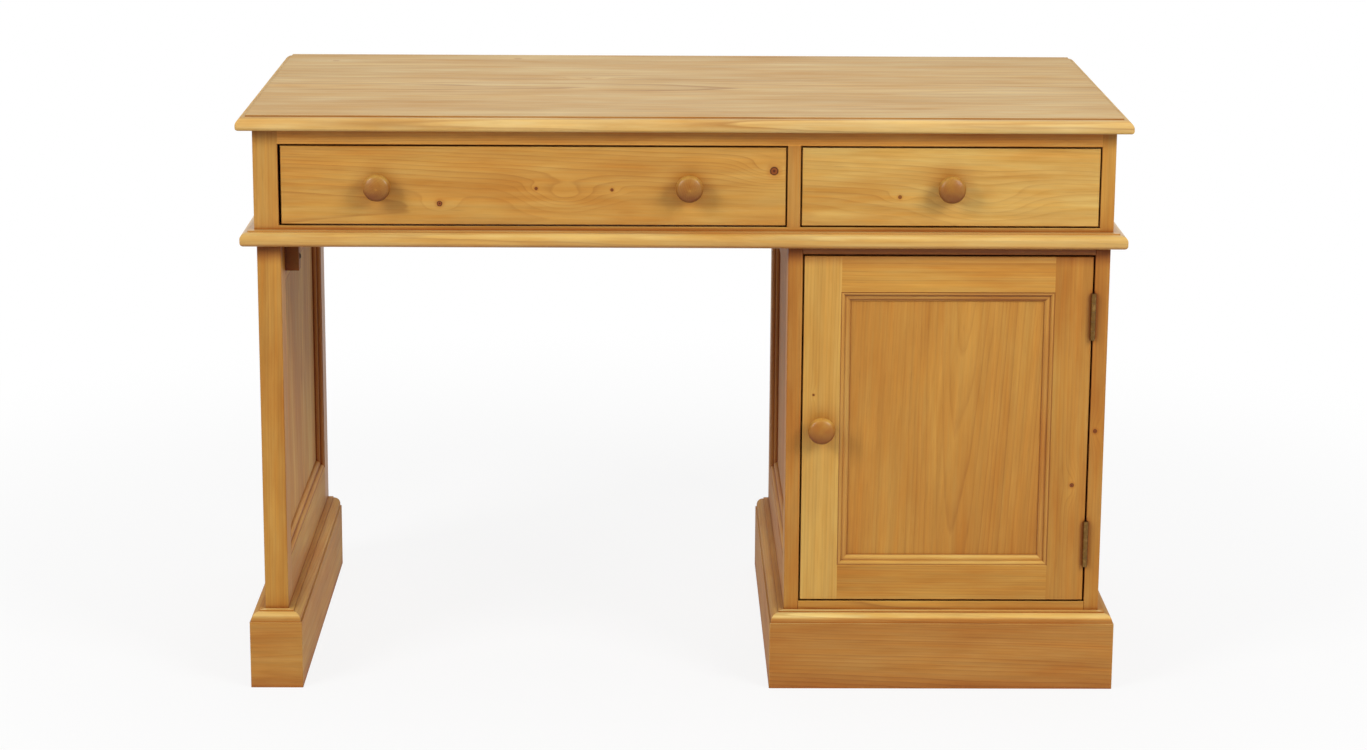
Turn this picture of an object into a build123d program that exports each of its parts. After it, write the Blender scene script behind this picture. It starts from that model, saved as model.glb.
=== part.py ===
from build123d import *
import math
import os

# Kneehole desk in solid pine: a moulded top, a case with two drawers, a waist moulding, a framed and
# panelled end leg on the left, a cupboard pedestal with a hinged door on the right, and plinths.
# Millimetres. X runs to the right, Y from the front to the back, Z up from the floor.
# The origin is on the floor, under the middle of the desk top.

# --- Overall sizes -------------------------------------------------------------------------------
desk_width = 1200.0
desk_depth = 600.0
desk_height = 800.0
arris = 0.8

# --- Desk top ------------------------------------------------------------------------------------
top_thickness = 20.0
top_overhang_side = 20.0
top_overhang_front = 24.0
top_overhang_back = 12.0
top_corner_radius = 2.5

# --- Edge mouldings: a small step, an ovolo, and a rounded lower arris ---------------------------
top_step, top_quirk, top_ovolo, top_under_round = 2.0, 1.0, 12.0, 5.0
waist_step, waist_quirk, waist_ovolo, waist_under_round = 2.0, 1.0, 9.0, 6.0
plinth_step, plinth_quirk, plinth_ovolo = 2.0, 1.0, 9.5
plinth_set_in, plinth_fillet = 2.0, 3.0

# --- Drawer case ---------------------------------------------------------------------------------
case_height = 158.5
case_side_thickness = 19.0
face_frame_thickness = 22.0
top_rail_height = 21.0
bottom_rail_height = 26.5
left_stile_width = 33.5
middle_stile_width = 18.0
middle_stile_offset = 2.5
right_stile_width = 19.0
frame_tenon_length, frame_tenon_thickness, frame_tenon_shoulder = 12.0, 8.0, 4.0
back_panel_thickness = 9.0
back_panel_rebate = 10.0
rear_rail_thickness = 19.0
runner_width = 20.0
guide_height = 20.0
stop_height = 20.0
waist_height = 21.0
waist_projection = 18.0

# --- Drawers -------------------------------------------------------------------------------------
drawer_front_thickness = 20.0
drawer_side_thickness = 12.0
drawer_bottom_thickness = 5.0
drawer_length = 530.0
drawer_gap_top = 2.4
drawer_gap_bottom = 2.3
left_drawer_gap_left = 3.6
drawer_gap_side = 2.0
drawer_side_drop = 2.5
drawer_back_inset = 6.0
drawer_back_drop = 8.0
housing_depth = 5.0
groove_height = 7.0
front_groove_depth = 6.0
sliding_gap = 0.3
dovetail_count = 4
dovetail_length = 14.0
dovetail_slope = 1.0 / 7.0
dovetail_pin_neck = 9.0
drawer_knob_inset = 130.0

# --- End leg and pedestal ------------------------------------------------------------------------
side_inset = 3.0
leg_thickness = 32.0
pedestal_width = 436.5
pedestal_side_thickness = 20.0
frame_stile_width = 48.0
frame_top_rail = 59.5
frame_bottom_rail = 168.5
leg_panel_thickness = 8.0
panel_thickness = 6.0
side_panel_recess = 11.0
panel_groove = 10.0
panel_float = 1.5
tenon_length = 32.0
tenon_haunch = 12.0
side_bead_width = 14.0
fixing_block_size = (19.0, 22.0, 45.5)
pedestal_bottom_thickness = 18.0
pedestal_bottom_reveal = 12.0
pedestal_top_rail_height = 10.5
pedestal_top_rail_width = 45.0
shelf_thickness = 18.0
shelf_height = 350.0
shelf_setback = 40.0
batten_size = 15.0
plinth_height = 108.5
plinth_thickness = 20.0

# --- Panel beads: two round members with a fillet between, in shares of their rise and width -----
bead_lip, bead_step, bead_foot = 0.92, 0.50, 0.16
bead_flat, bead_first_round, bead_fillet, bead_second_round = 0.10, 0.42, 0.54, 0.94

# --- Cupboard door -------------------------------------------------------------------------------
door_thickness = 20.0
door_gap_knob_side = 2.2
door_gap_hinge_side = 2.4
door_gap_top = 2.5
door_gap_bottom = 2.5
door_stile_width = 51.0
door_rail_height = 50.0
door_panel_recess = 8.0
door_bead_width = 13.0
door_knob_height = 246.0

# --- Knobs and hinges ----------------------------------------------------------------------------
knob_diameter = 37.0
knob_neck_diameter = 15.0
knob_base_diameter = 21.0
knob_base_height = 2.5
knob_projection = 29.0
knob_rim_radius = 7.0
knob_face_slope = 24.0
knob_spigot_diameter = 9.0
knob_spigot_length = 12.0
spigot_hole_spare = 1.0
glue_gap = 0.05
hinge_length = 65.0
hinge_end_distance = 82.0
hinge_leaf_thickness = 1.1
hinge_leaf_width = 19.0
hinge_barrel_radius = 3.5
hinge_pin_radius = 1.25
hinge_pin_clearance = 0.05
hinge_knuckles = 5
hinge_knuckle_gap = 0.2
hinge_barrel_clearance = 0.3
hinge_screw_radius = 1.5
hinge_screw_head_radius = 2.9
hinge_screw_spacing = 22.0
catch_size = (46.0, 14.0, 12.0)
catch_offset = 30.0
catch_ear_length = 10.0
catch_ear_thickness = 3.0
catch_corner_radius = 3.5
strike_size = (30.0, 1.2, 10.0)

# --- Faces that several pieces share, worked out from the sizes above ----------------------------
top_underside = desk_height - top_thickness
case_bottom = top_underside - case_height
case_half = desk_width / 2 - top_overhang_side
face = -desk_depth / 2 + top_overhang_front
back = desk_depth / 2 - top_overhang_back
frame_back = face + face_frame_thickness
panel_front = back - back_panel_thickness

leg_outer = -case_half + side_inset
leg_inner = leg_outer + leg_thickness
pedestal_right = case_half - side_inset
pedestal_left = pedestal_right - pedestal_width
cupboard = (pedestal_left + pedestal_side_thickness, pedestal_right - pedestal_side_thickness)
cupboard_floor = plinth_height + pedestal_bottom_reveal
cupboard_head = case_bottom - pedestal_top_rail_height

case_inner_left = -case_half + case_side_thickness
case_inner_right = case_half - case_side_thickness
opening_bottom = case_bottom + bottom_rail_height
opening_top = top_underside - top_rail_height
left_opening = (-case_half + left_stile_width, pedestal_left - middle_stile_offset)
right_opening = (left_opening[1] + middle_stile_width, case_half - right_stile_width)
drawer_end = face + drawer_length

door_left = cupboard[0] + door_gap_knob_side
door_right = cupboard[1] - door_gap_hinge_side
door_bottom = cupboard_floor + door_gap_bottom
door_top = cupboard_head - door_gap_top
door_back = face + door_thickness

hinge_axis_x = (cupboard[1] + door_right) / 2
hinge_axis_y = face - hinge_barrel_radius - hinge_barrel_clearance
hinge_heights = (door_bottom + hinge_end_distance, door_top - hinge_end_distance)

# --- Small helpers -------------------------------------------------------------------------------
LOW, HIGH = 0, -1
overrun = 1.0
slant = math.cos(math.pi / 4)


def board(x, y, z):
    """A squared board between the given low and high faces."""
    spans = (x, y, z)
    centre = [(low + high) / 2 for low, high in spans]
    return Pos(*centre) * Box(*[high - low for low, high in spans])


def eased(block, along, *ends):
    """A board with its arrises along one axis eased, kept to those at the given ends of other axes."""
    edges = block.edges().filter_by(along)
    for axis, end in ends:
        edges = edges.group_by(axis)[end]
    return chamfer(edges, arris)


def bevelled(block, end):
    """A board with the four arrises round its front (LOW) or back (HIGH) face eased."""
    return chamfer(block.faces().sort_by(Axis.Y)[end].edges(), arris)


def mouth_waste(x, z):
    """Waste that eases the arrises of the opening x by z in a show face on y = 0."""
    block = board((x[0] - arris, x[1] + arris), (-overrun, arris), (z[0] - arris, z[1] + arris))
    return bevelled(block, HIGH)


def moulding_waste(length, step, quirk, radius, set_in=0.0, fillet=0.0):
    """Waste along +X that leaves a step and an ovolo on an edge whose outer face is y = 0, top z = 0."""
    shoulder = set_in + radius + quirk
    arc_top = (set_in + radius, -step)
    arc_middle = (set_in + radius * (1 - slant), -step - radius * (1 - slant))
    arc_low = (set_in, -step - radius)
    foot = [(set_in, arc_low[1] - fillet)] if fillet else []
    outline = Curve() + [
        Polyline((-overrun, overrun), (shoulder, overrun), (shoulder, -step), arc_top),
        ThreePointArc(arc_top, arc_middle, arc_low),
        Polyline(arc_low, *foot, (-overrun, arc_low[1] - fillet), (-overrun, overrun)),
    ]
    return extrude(Plane.YZ * make_face(outline), amount=length)


def rounding_waste(length, radius):
    """Waste along +X that rounds a lower arris whose outer face is y = 0 and underside z = 0."""
    middle = radius * (1 - slant)
    outline = Curve() + [
        Polyline((0, radius), (-overrun, radius), (-overrun, -overrun), (radius, -overrun), (radius, 0)),
        ThreePointArc((radius, 0), (middle, middle), (0, radius)),
    ]
    return extrude(Plane.YZ * make_face(outline), amount=length)


def skirting(length, thickness, height, waste, mitre_left, mitre_right):
    """A moulded board standing on z = 0 with its back on y = 0, running +X for length at its back.

    A mitred end stops at the eased arris that it shares with the next board.
    """
    tip = thickness - arris / 2
    left_end = [(-tip, -tip), (arris - thickness, -thickness)] if mitre_left else [(0, -thickness)]
    right_end = [(length, -thickness)]
    if mitre_right:
        right_end = [(length + thickness - arris, -thickness), (length + tip, -tip)]
    plan = make_face(Polyline((0, 0), *left_end, *right_end, (length, 0), close=True))
    piece = extrude(plan, amount=height)
    for cutter in waste:
        piece -= Pos(-thickness - overrun, -thickness, 0) * cutter
    return piece


def turned_left(piece, x, y):
    """Turns a skirting to face -X and run towards the front, its back on x and starting at y."""
    return Pos(x, y, 0) * Rot(0, 0, -90) * piece


def turned_right(piece, x, y):
    """Turns a skirting to face +X and run towards the back, its back on x and starting at y."""
    return Pos(x, y, 0) * Rot(0, 0, 90) * piece


# --- Framed and panelled work --------------------------------------------------------------------
def panel_bead(length, width, rise):
    """A mitred bead along X, centred, its outer edge on z = 0, rising from y = 0 towards -Y."""
    lip, step, foot = -rise * bead_lip, -rise * bead_step, -rise * bead_foot
    flat, first = width * bead_flat, width * bead_first_round
    fillet_end, second = width * bead_fillet, width * bead_second_round
    outline = Curve() + [
        Polyline((0, 0), (lip, 0), (lip, flat)),
        TangentArc((lip, flat), (step, first), tangent=(0, 1)),
        Line((step, first), (step, fillet_end)),
        TangentArc((step, fillet_end), (foot, second), tangent=(0, 1)),
        Polyline((foot, second), (foot, width), (0, width), (0, 0)),
    ]
    half = length / 2
    run = Pos(-half, 0, 0) * extrude(Plane.YZ * make_face(outline), amount=length)
    mitre = Polyline((-half, 0), (half, 0), (half - width, width), (-half + width, width), close=True)
    return run & extrude(Plane.XZ * make_face(mitre), amount=rise)


def bead_frame(x, z, y, width, rise):
    """Four mitred beads round the inside of the opening x by z, lying on the panel face at y."""
    across, up = x[1] - x[0], z[1] - z[0]
    middle_x, middle_z = (x[0] + x[1]) / 2, (z[0] + z[1]) / 2
    level, upright = panel_bead(across, width, rise), panel_bead(up, width, rise)
    return [
        Pos(middle_x, y, z[0]) * level,
        Pos(middle_x, y, z[1]) * Rot(0, 180, 0) * level,
        Pos(x[0], y, middle_z) * Rot(0, 90, 0) * upright,
        Pos(x[1], y, middle_z) * Rot(0, -90, 0) * upright,
    ]


def panelled_frame(width, height, thickness, stile, top_rail, bottom_rail, recess, panel, bead,
                   hung=False, two_faced=False):
    """Stiles, haunched rails, panel and beads, show face on y = 0, lower left corner at the origin.

    A hung frame has all its outer arrises eased, a fixed one only those that stand upright.
    """
    opening_x = (stile, width - stile)
    opening_z = (bottom_rail, height - top_rail)
    plane_y = (recess, recess + panel)
    groove_x = (opening_x[0] - panel_groove, opening_x[1] + panel_groove)
    groove_z = (opening_z[0] - panel_groove, opening_z[1] + panel_groove)
    tenon_x = (opening_x[0] - tenon_length, opening_x[1] + tenon_length)

    tenons_low = board(tenon_x, plane_y, (tenon_haunch, bottom_rail))
    tenons_high = board(tenon_x, plane_y, (height - top_rail, height - tenon_haunch))
    groove = board(groove_x, plane_y, groove_z)
    haunches = board(groove_x, plane_y, (0, height))

    outside = board((0, width), (0, thickness), (0, height))
    outside = chamfer(outside.edges() if hung else outside.edges().filter_by(Axis.Z), arris)
    other_face = Pos(width, thickness, 0) * Rot(0, 0, 180)
    mouths = [mouth_waste(opening_x, opening_z)]
    beads = bead_frame(opening_x, opening_z, recess, bead, recess)
    if two_faced:
        mouths.append(other_face * mouths[0])
        beads += [other_face * piece for piece in beads]

    rails = []
    for low, high, tenons in ((0, bottom_rail, tenons_low), (height - top_rail, height, tenons_high)):
        rail = board(opening_x, (0, thickness), (low, high))
        rail += board(groove_x, plane_y, (low, high))
        rail += tenons
        rails.append((rail - groove - mouths) & outside)

    stiles = []
    for low, high in ((0, stile), (width - stile, width)):
        upright = board((low, high), (0, thickness), (0, height))
        stiles.append((upright - haunches - tenons_low - tenons_high - mouths) & outside)

    reach = panel_groove - panel_float
    field_x = (opening_x[0] - reach, opening_x[1] + reach)
    field_z = (opening_z[0] - reach, opening_z[1] + reach)
    return {"stiles": stiles, "rails": rails, "panel": board(field_x, plane_y, field_z), "beads": beads}


def placed(location, pieces):
    """The same pieces carried to a location."""
    return [location * piece for piece in pieces]


# --- Desk top ------------------------------------------------------------------------------------
def make_desk_top():
    half_x, half_y = desk_width / 2, desk_depth / 2
    top = board((-half_x, half_x), (-half_y, half_y), (top_underside, desk_height))
    top = fillet(top.edges().filter_by(Axis.Z), top_corner_radius)
    for length, x, y, turn in (
        (desk_width, -half_x, -half_y, 0),
        (desk_depth, -half_x, half_y, -90),
        (desk_depth, half_x, -half_y, 90),
    ):
        upper = moulding_waste(length, top_step, top_quirk, top_ovolo)
        lower = rounding_waste(length, top_under_round)
        top -= Pos(x, y, desk_height) * Rot(0, 0, turn) * upper
        top -= Pos(x, y, top_underside) * Rot(0, 0, turn) * lower
    return top


# --- Drawer case ---------------------------------------------------------------------------------
def make_face_frame():
    """Outer stiles run full height; the rails are tenoned between them, the middle stile between those."""
    tenon_y = (
        face + (face_frame_thickness - frame_tenon_thickness) / 2,
        face + (face_frame_thickness + frame_tenon_thickness) / 2,
    )
    frame_y = (face, frame_back)
    inner = (left_opening[0], right_opening[1])
    reach = (inner[0] - frame_tenon_length, inner[1] + frame_tenon_length)
    rails = {}
    for name, low, high in (
        ("case_rail_top", opening_top, top_underside),
        ("case_rail_bottom", case_bottom, opening_bottom),
    ):
        tenons = board(reach, tenon_y, (low + frame_tenon_shoulder, high - frame_tenon_shoulder))
        rails[name] = board(inner, frame_y, (low, high)) + tenons

    middle_x = (left_opening[1], right_opening[0])
    middle_tenon_x = (middle_x[0] + frame_tenon_shoulder, middle_x[1] - frame_tenon_shoulder)
    middle_tenon_z = (opening_bottom - frame_tenon_length, opening_top + frame_tenon_length)
    middle = board(middle_x, frame_y, (opening_bottom, opening_top))
    middle += board(middle_tenon_x, tenon_y, middle_tenon_z)
    rails = {name: rail - middle for name, rail in rails.items()}

    frame = {"case_stile_middle": middle, **rails}
    for name, x, outer in (
        ("case_stile_left", (-case_half, left_opening[0]), LOW),
        ("case_stile_right", (right_opening[1], case_half), HIGH),
    ):
        stile = board(x, frame_y, (case_bottom, top_underside))
        stile = eased(stile, Axis.Z, (Axis.Y, LOW), (Axis.X, outer))
        for rail in rails.values():
            stile -= rail
        frame[name] = stile

    mouths = [
        Pos(0, face, 0) * mouth_waste(opening, (opening_bottom, opening_top))
        for opening in (left_opening, right_opening)
    ]
    return {name: piece - mouths for name, piece in frame.items()}


def make_case():
    """Sides, back, rear rail, divider, drawer runners with their stops, and kickers behind the face frame."""
    case_z = (case_bottom, top_underside)
    depth = (frame_back, back)
    back_x = (case_inner_left - back_panel_rebate, case_inner_right + back_panel_rebate)
    back_panel = board(back_x, (panel_front, back), case_z)
    rear_y = (panel_front - rear_rail_thickness, panel_front)
    rear_rail = board((case_inner_left, case_inner_right), rear_y, (case_bottom, opening_bottom))
    divider_x = (left_opening[1], right_opening[0])
    divider = board(divider_x, (frame_back, panel_front), case_z) - rear_rail

    sides = {}
    for name, x in (
        ("case_side_left", (-case_half, case_inner_left)),
        ("case_side_right", (case_inner_right, case_half)),
    ):
        sides[name] = eased(board(x, depth, case_z), Axis.Z, (Axis.Y, HIGH)) - back_panel

    tracks = [
        (left_opening[0], left_opening[0] + runner_width),
        (divider_x[0] - runner_width, divider_x[0]),
        (divider_x[1], divider_x[1] + runner_width),
        (case_inner_right - runner_width, case_inner_right),
    ]
    strips = [(case_inner_left, tracks[0][1]), *tracks[1:]]
    runner_y = (frame_back, rear_y[0])
    runners = [board(x, runner_y, (case_bottom, opening_bottom)) for x in strips]
    guide_x = (case_inner_left, left_opening[0])
    runners[0] += board(guide_x, runner_y, (opening_bottom, opening_bottom + guide_height))
    stop_y = (drawer_end + sliding_gap, panel_front)
    stops = [board(x, stop_y, (opening_bottom, opening_bottom + stop_height)) for x in tracks]
    kicker_y = (frame_back, panel_front)
    return {
        **sides,
        "case_back": back_panel,
        "case_rail_rear": rear_rail,
        "case_divider": divider,
        "drawer_runners": runners + stops,
        "drawer_kickers": [board(x, kicker_y, (opening_top, top_underside)) for x in strips],
    }


def make_waist():
    """The moulding mitred round the front and sides at the foot of the case."""
    def waste(length):
        long = length + 2 * (waist_projection + overrun)
        upper = moulding_waste(long, waist_step, waist_quirk, waist_ovolo)
        return [Pos(0, 0, waist_height) * upper, rounding_waste(long, waist_under_round)]

    across, along = 2 * case_half, back - face
    front = skirting(across, waist_projection, waist_height, waste(across), True, True)
    left = skirting(along, waist_projection, waist_height, waste(along), False, True)
    right = skirting(along, waist_projection, waist_height, waste(along), True, False)
    lift = Pos(0, 0, case_bottom)
    return {
        "waist_moulding_front": lift * Pos(-case_half, face, 0) * front,
        "waist_moulding_sides": [
            lift * turned_left(left, -case_half, back),
            lift * turned_right(right, case_half, face),
        ],
    }


# --- Plinths -------------------------------------------------------------------------------------
def make_plinth(x, name):
    """Three moulded boards mitred round the front and sides of whatever stands between the faces x."""
    def waste(length):
        long = length + 2 * (plinth_thickness + overrun)
        cutter = moulding_waste(long, plinth_step, plinth_quirk, plinth_ovolo, plinth_set_in, plinth_fillet)
        return [Pos(0, 0, plinth_height) * cutter]

    across, along = x[1] - x[0], back - face
    front = skirting(across, plinth_thickness, plinth_height, waste(across), True, True)
    left = skirting(along, plinth_thickness, plinth_height, waste(along), False, True)
    right = skirting(along, plinth_thickness, plinth_height, waste(along), True, False)
    return {
        name + "_front": Pos(x[0], face, 0) * front,
        name + "_sides": [turned_left(left, x[0], back), turned_right(right, x[1], face)],
    }


# --- End leg -------------------------------------------------------------------------------------
def make_leg():
    """A thick frame with a panel recessed and beaded on both faces, and blocks that fix it to the case."""
    recess = (leg_thickness - leg_panel_thickness) / 2
    parts = panelled_frame(
        back - face, case_bottom, leg_thickness, frame_stile_width, frame_top_rail, frame_bottom_rail,
        recess, leg_panel_thickness, side_bead_width, two_faced=True,
    )
    stand = Pos(leg_inner, face, 0) * Rot(0, 0, 90)
    front_stile, back_stile = placed(stand, parts["stiles"])
    bottom_rail, top_rail = placed(stand, parts["rails"])
    width, depth, height = fixing_block_size
    blocks = [
        board((leg_inner, leg_inner + width), (y, y + depth), (case_bottom - height, case_bottom))
        for y in (face + frame_stile_width, back - frame_stile_width - depth)
    ]
    return {
        "leg_stile_front": front_stile,
        "leg_stile_back": back_stile,
        "leg_rail_top": top_rail,
        "leg_rail_bottom": bottom_rail,
        "leg_panel": stand * parts["panel"],
        "leg_panel_beads": placed(stand, parts["beads"]),
        "leg_fixing_blocks": blocks,
    }


# --- Cupboard pedestal ---------------------------------------------------------------------------
def make_pedestal():
    nodes = {}
    parts = panelled_frame(
        back - face, case_bottom, pedestal_side_thickness, frame_stile_width, frame_top_rail,
        frame_bottom_rail, side_panel_recess, panel_thickness, side_bead_width,
    )
    bottom_z = (cupboard_floor - pedestal_bottom_thickness, cupboard_floor)
    back_x = (cupboard[0] - back_panel_rebate, cupboard[1] + back_panel_rebate)
    back_panel = board(back_x, (panel_front, back), (bottom_z[0], case_bottom))
    for side, stand in (
        ("left", Pos(pedestal_left, back, 0) * Rot(0, 0, -90)),
        ("right", Pos(pedestal_right, face, 0) * Rot(0, 0, 90)),
    ):
        name = "pedestal_" + side
        nodes[name + "_stiles"] = [stile - back_panel for stile in placed(stand, parts["stiles"])]
        nodes[name + "_rails"] = placed(stand, parts["rails"])
        nodes[name + "_panel"] = stand * parts["panel"]
        nodes[name + "_beads"] = placed(stand, parts["beads"])

    bottom = board(cupboard, (face, panel_front), bottom_z)
    nodes["pedestal_bottom"] = eased(bottom, Axis.X, (Axis.Y, LOW), (Axis.Z, HIGH))
    nodes["pedestal_back"] = back_panel
    rail_z = (cupboard_head, case_bottom)
    front_rail = board(cupboard, (face, face + pedestal_top_rail_width), rail_z)
    nodes["pedestal_top_rails"] = [
        eased(front_rail, Axis.X, (Axis.Y, LOW), (Axis.Z, LOW)),
        board(cupboard, (panel_front - pedestal_top_rail_width, panel_front), rail_z),
    ]
    shelf_y = (face + shelf_setback, panel_front - sliding_gap)
    shelf_x = (cupboard[0] + sliding_gap, cupboard[1] - sliding_gap)
    shelf = board(shelf_x, shelf_y, (shelf_height, shelf_height + shelf_thickness))
    nodes["pedestal_shelf"] = eased(shelf, Axis.X, (Axis.Y, LOW))
    batten_z = (shelf_height - batten_size, shelf_height)
    nodes["shelf_battens"] = [
        board((cupboard[0], cupboard[0] + batten_size), shelf_y, batten_z),
        board((cupboard[1] - batten_size, cupboard[1]), shelf_y, batten_z),
    ]
    return nodes


# --- Turned knobs --------------------------------------------------------------------------------
def make_knob():
    """A mushroom knob turned on the Z axis: base, neck, cove, round rim, slightly domed face, spigot."""
    head, neck, base = knob_diameter / 2, knob_neck_diameter / 2, knob_base_diameter / 2
    spigot = knob_spigot_diameter / 2
    slope = math.radians(knob_face_slope)
    rim_x = head - knob_rim_radius
    edge_x = rim_x + knob_rim_radius * math.sin(slope)
    dome = edge_x / math.sin(slope)
    edge_z = knob_projection - dome * (1 - math.cos(slope))
    rim_z = edge_z - knob_rim_radius * math.cos(slope)
    under_z = rim_z - knob_rim_radius
    cove = rim_x - neck
    cove_middle = (rim_x - cove * slant, under_z - cove * (1 - slant))
    dome_middle = (dome * math.sin(slope / 2), knob_projection - dome * (1 - math.cos(slope / 2)))
    outline = Curve() + [
        Polyline((0, -knob_spigot_length), (spigot, -knob_spigot_length), (spigot, 0), (base, 0),
                 (base, knob_base_height), (neck, knob_base_height), (neck, under_z - cove)),
        ThreePointArc((neck, under_z - cove), cove_middle, (rim_x, under_z)),
        ThreePointArc((rim_x, under_z), (head, rim_z), (edge_x, edge_z)),
        ThreePointArc((edge_x, edge_z), dome_middle, (0, knob_projection)),
        Line((0, knob_projection), (0, -knob_spigot_length)),
    ]
    return revolve(Plane.XZ * make_face(outline), Axis.Z)


def spigot_hole():
    """The waste of the hole that a knob's spigot is glued into, on the Z axis below z = 0."""
    deep = knob_spigot_length + spigot_hole_spare
    return Pos(0, 0, -deep / 2) * Cylinder(knob_spigot_diameter / 2 + glue_gap, deep)


def on_face(x, z):
    """Turns a piece made on the Z axis to stand out of the front faces at x and z."""
    return Pos(x, face, z) * Rot(90, 0, 0)


# --- Drawers -------------------------------------------------------------------------------------
def dovetails(x, inner_face, bottom, top):
    """The row of tails at the front end of a drawer side, narrow at the joint line and wide at the tip."""
    pitch = (top - bottom) / dovetail_count
    spread = dovetail_length * dovetail_slope
    tip = inner_face - dovetail_length
    tails = []
    for index in range(dovetail_count):
        low = bottom + index * pitch + dovetail_pin_neck / 2
        high = bottom + (index + 1) * pitch - dovetail_pin_neck / 2
        outline = Polyline(
            (inner_face, low), (inner_face, high), (tip, high + spread), (tip, low - spread), close=True
        )
        tails.append(Pos(x[0], 0, 0) * extrude(Plane.YZ * make_face(outline), amount=x[1] - x[0]))
    return tails


def make_drawer(name, x, knob_places):
    """A drawer box with lapped dovetails at the front, a housed back and a grooved-in bottom."""
    inner_face = face + drawer_front_thickness
    front_z = (opening_bottom + drawer_gap_bottom, opening_top - drawer_gap_top)
    side_z = (opening_bottom + sliding_gap, front_z[1] - drawer_side_drop)
    side_y = (inner_face, drawer_end)
    bottom_z = (side_z[0] + groove_height, side_z[0] + groove_height + drawer_bottom_thickness)
    inner_x = (x[0] + drawer_side_thickness, x[1] - drawer_side_thickness)
    housed_x = (inner_x[0] - housing_depth, inner_x[1] + housing_depth)

    back_y = (drawer_end - drawer_back_inset - drawer_side_thickness, drawer_end - drawer_back_inset)
    panel = board(housed_x, (inner_face - front_groove_depth, back_y[1]), bottom_z)
    back_board = board(housed_x, back_y, (bottom_z[1], side_z[1] - drawer_back_drop))
    back_board = eased(back_board, Axis.X, (Axis.Z, HIGH))

    front = bevelled(board(x, (face, inner_face), front_z), LOW)
    sides = []
    for side_x in ((x[0], inner_x[0]), (inner_x[1], x[1])):
        side = eased(board(side_x, side_y, side_z), Axis.Y, (Axis.Z, HIGH))
        for tail in dovetails(side_x, inner_face, front_z[0], side_z[1]):
            side += tail
            front -= tail
        sides.append(side - panel - back_board)
    front -= panel

    knob_height = (front_z[0] + front_z[1]) / 2
    places = [on_face(knob_x, knob_height) for knob_x in knob_places]
    for place in places:
        front -= place * spigot_hole()
    knob = make_knob()
    knob_node = name + ("_knobs" if len(places) > 1 else "_knob")
    return {
        name + "_front": front,
        name + "_sides": sides,
        name + "_back": back_board,
        name + "_bottom": panel,
        knob_node: [place * knob for place in places],
    }


# --- Cupboard door -------------------------------------------------------------------------------
def make_door():
    parts = panelled_frame(
        door_right - door_left, door_top - door_bottom, door_thickness, door_stile_width,
        door_rail_height, door_rail_height, door_panel_recess, panel_thickness, door_bead_width, hung=True,
    )
    hang = Pos(door_left, face, door_bottom)
    knob_place = on_face(door_left + door_stile_width / 2, door_bottom + door_knob_height)
    knob_stile, hinge_stile = placed(hang, parts["stiles"])
    return {
        "door_stile_left": knob_stile - knob_place * spigot_hole(),
        "door_stile_right": hinge_stile,
        "door_rails": placed(hang, parts["rails"]),
        "door_panel": hang * parts["panel"],
        "door_panel_beads": placed(hang, parts["beads"]),
        "door_knob": knob_place * make_knob(),
    }


# --- Butt hinges and magnetic catch --------------------------------------------------------------
def make_leaf(knuckle_numbers, side):
    """One leaf and its knuckles, axis on Z, centred in height; side is 1 for the frame, -1 for the door."""
    plate_x = sorted((side * hinge_knuckle_gap / 2, side * (hinge_leaf_thickness + hinge_knuckle_gap / 2)))
    plate_front = hinge_barrel_radius + hinge_barrel_clearance
    plate_back = plate_front + hinge_leaf_width
    leaf = board(plate_x, (plate_front, plate_back), (-hinge_length / 2, hinge_length / 2))
    pitch = hinge_length / hinge_knuckles
    for number in knuckle_numbers:
        low = -hinge_length / 2 + number * pitch + hinge_knuckle_gap / 2
        high = low + pitch - hinge_knuckle_gap
        leaf += board(plate_x, (0, plate_front + overrun), (low, high))
        leaf += Pos(0, 0, (low + high) / 2) * Cylinder(hinge_barrel_radius, high - low)
    leaf -= Cylinder(hinge_pin_radius + hinge_pin_clearance, hinge_length + overrun)
    screw_y = (plate_front + plate_back) / 2
    screw_x = sum(plate_x) / 2
    sink = Rot(0, -90 * side, 0) * Cone(hinge_screw_radius, hinge_screw_head_radius, hinge_leaf_thickness)
    for height in (-hinge_screw_spacing, 0, hinge_screw_spacing):
        leaf -= Pos(screw_x, screw_y, height) * sink
    return leaf


def make_hinges():
    """Two butt hinges; the frame leaves hold three knuckles and the door leaves the two between them."""
    even = make_leaf(range(0, hinge_knuckles, 2), 1)
    odd = make_leaf(range(1, hinge_knuckles, 2), -1)
    pin = Cylinder(hinge_pin_radius, hinge_length)
    places = [Pos(hinge_axis_x, hinge_axis_y, height) for height in hinge_heights]
    return {
        "hinge_leaves_frame": [place * even for place in places],
        "hinge_leaves_door": [place * odd for place in places],
        "hinge_pins": [place * pin for place in places],
    }


def make_catch():
    """A magnetic catch, its housing between two ears under the top rail, and the door's strike plate."""
    width, depth, height = catch_size
    left = cupboard[0] + catch_offset
    strike_width, strike_thickness, strike_height = strike_size
    strike_y = (door_back, door_back + strike_thickness)
    front = strike_y[1] + sliding_gap
    body_y = (front, front + depth)
    flange = board((left, left + width), body_y, (cupboard_head - catch_ear_thickness, cupboard_head))
    flange = fillet(flange.edges().filter_by(Axis.Z), catch_corner_radius)
    housing_x = (left + catch_ear_length, left + width - catch_ear_length)
    housing = board(housing_x, body_y, (cupboard_head - height, cupboard_head - catch_ear_thickness))
    housing = eased(housing, Axis.Y, (Axis.Z, LOW))
    strike_left = left + (width - strike_width) / 2
    strike_top = cupboard_head - (height - strike_height) / 2
    strike_x = (strike_left, strike_left + strike_width)
    return {
        "door_catch": flange + housing,
        "door_catch_strike": board(strike_x, strike_y, (strike_top - strike_height, strike_top)),
    }


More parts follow.
